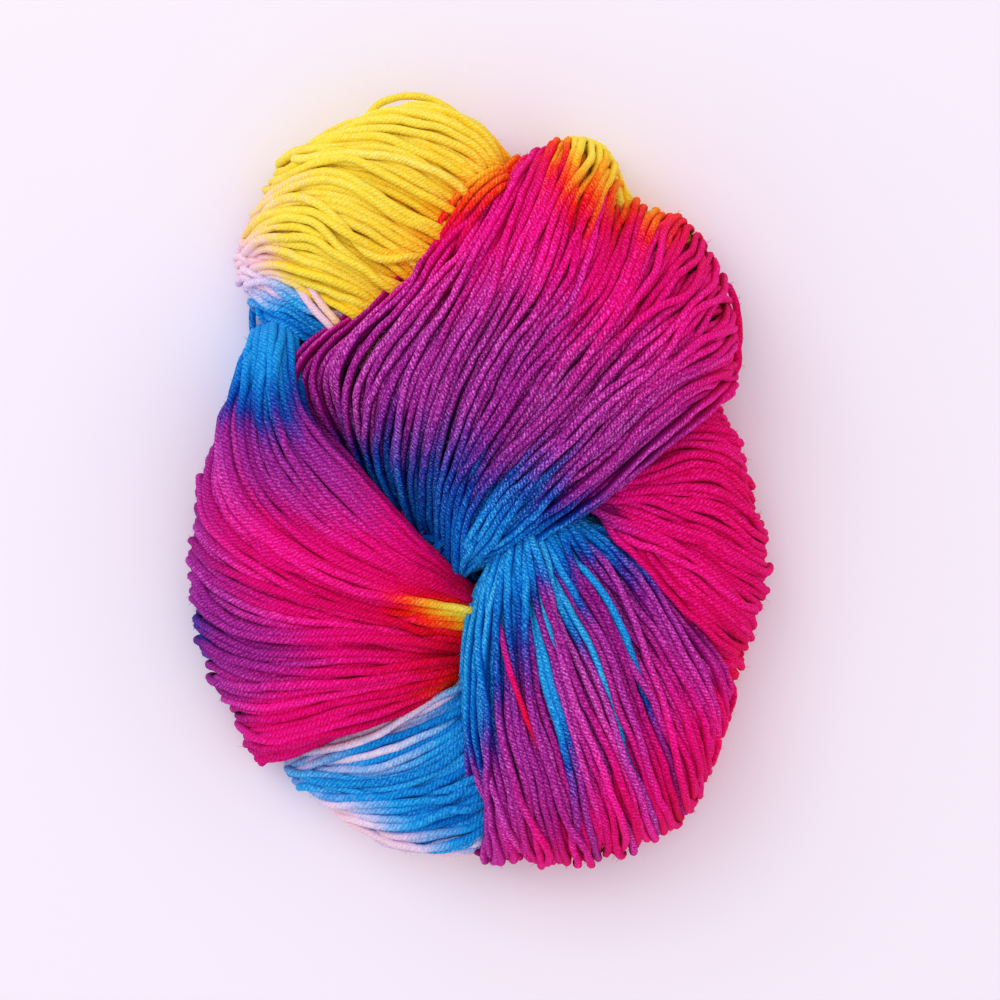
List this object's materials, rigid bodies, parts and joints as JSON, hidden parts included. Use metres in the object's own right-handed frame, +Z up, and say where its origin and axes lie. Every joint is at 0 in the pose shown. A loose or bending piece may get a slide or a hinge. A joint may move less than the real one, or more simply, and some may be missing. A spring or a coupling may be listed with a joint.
{
  "type": "folded skein of acrylic yarn",
  "caption": "Loose bundle of space-dyed acrylic yarn: a skein folded over and twisted through itself, its turns fanning out from a pinch into thick rounded lobes.",
  "frame": {"origin": "on the surface the skein lies on, under the middle of its outline", "axes": "+Z up out of the surface, +Y along the skein towards the lobe folded over at its far end, +X across it to the right"},
  "size_m": [0.1466, 0.1944, 0.0451],
  "materials": {
    "yarn": "soft plied acrylic yarn, space-dyed in bands from yellow through red, magenta and purple to blue and pale pink"
  },
  "bodies": {
    "root": {"yarn_skein": "yarn"}
  },
  "joints": []
}
